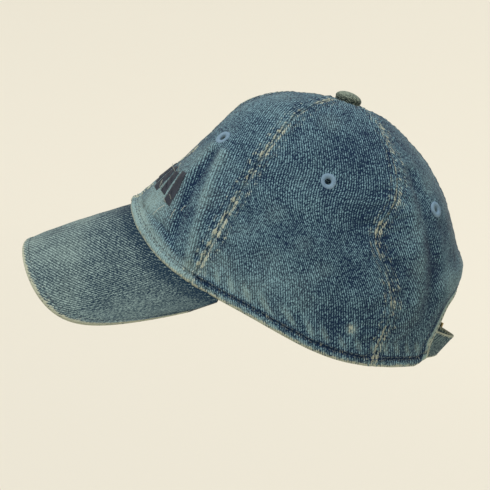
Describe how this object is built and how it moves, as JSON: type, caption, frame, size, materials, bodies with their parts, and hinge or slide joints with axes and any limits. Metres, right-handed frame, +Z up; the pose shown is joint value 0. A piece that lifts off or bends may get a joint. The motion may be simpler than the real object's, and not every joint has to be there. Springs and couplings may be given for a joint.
{
  "type": "baseball cap",
  "caption": "Soft denim baseball cap with a curved bill, panelled crown, stitched eyelets, top button and an adjustable back strap with a metal clasp.",
  "frame": {"origin": "centre of the head opening, level with the lowest stretch of the side hem", "axes": "+Z up through the crown's top, -Y towards the bill, +X towards the wearer's left"},
  "size_m": [0.1518, 0.2541, 0.1741],
  "materials": {
    "denim": "washed denim twill, worn pale at the seams and folds",
    "bill_denim": "faded denim twill, rubbed to cream at the rim",
    "tape": "plain cotton seam tape",
    "sweatband": "folded cotton twill",
    "eyelet_thread": "light blue satin stitch",
    "embroidery": "dark navy satin stitch, frayed",
    "label": "blank woven label",
    "board": "moulded sheet",
    "button_metal": "stamped steel",
    "clasp_brass": "antique brass, dulled"
  },
  "bodies": {
    "cap": {"crown_panel_front_left": "denim", "crown_panel_front_right": "denim", "crown_panel_side_left": "denim", "crown_panel_side_right": "denim", "crown_panel_back_left": "denim", "crown_panel_back_right": "denim", "seam_tape_front": "tape", "seam_tape_front_left": "tape", "seam_tape_front_right": "tape", "seam_tape_back_left": "tape", "seam_tape_back_right": "tape", "seam_tape_back": "tape", "sweatband": "sweatband", "opening_facing": "denim", "care_label": "label", "front_embroidery": "embroidery", "eyelet_front_left": "eyelet_thread", "eyelet_front_right": "eyelet_thread", "eyelet_side_left": "eyelet_thread", "eyelet_side_right": "eyelet_thread", "eyelet_back_left": "eyelet_thread", "eyelet_back_right": "eyelet_thread", "button_cover": "bill_denim", "button_shell": "button_metal", "button_stud": "button_metal", "button_backing_washer": "button_metal", "bill_top_cover": "bill_denim", "bill_board": "board", "bill_bottom_cover": "bill_denim", "clasp_tab": "denim", "clasp_frame": "clasp_brass", "clasp_pin": "clasp_brass"},
    "strap": {"strap": "denim"},
    "lever": {"clasp_lever": "clasp_brass"}
  },
  "joints": [
    {"name": "strap_adjust", "type": "hinge", "parent": "cap", "child": "strap", "pos_m": [0, 0.0296, 0.021], "axis": [0, 0, 1], "range_deg": [-17, 18]},
    {"name": "clasp_lever_hinge", "type": "hinge", "parent": "cap", "child": "lever", "pos_m": [-0.02001, 0.09805, 0.021], "axis": [0, 0, 1], "range_deg": [0, 100]}
  ]
}
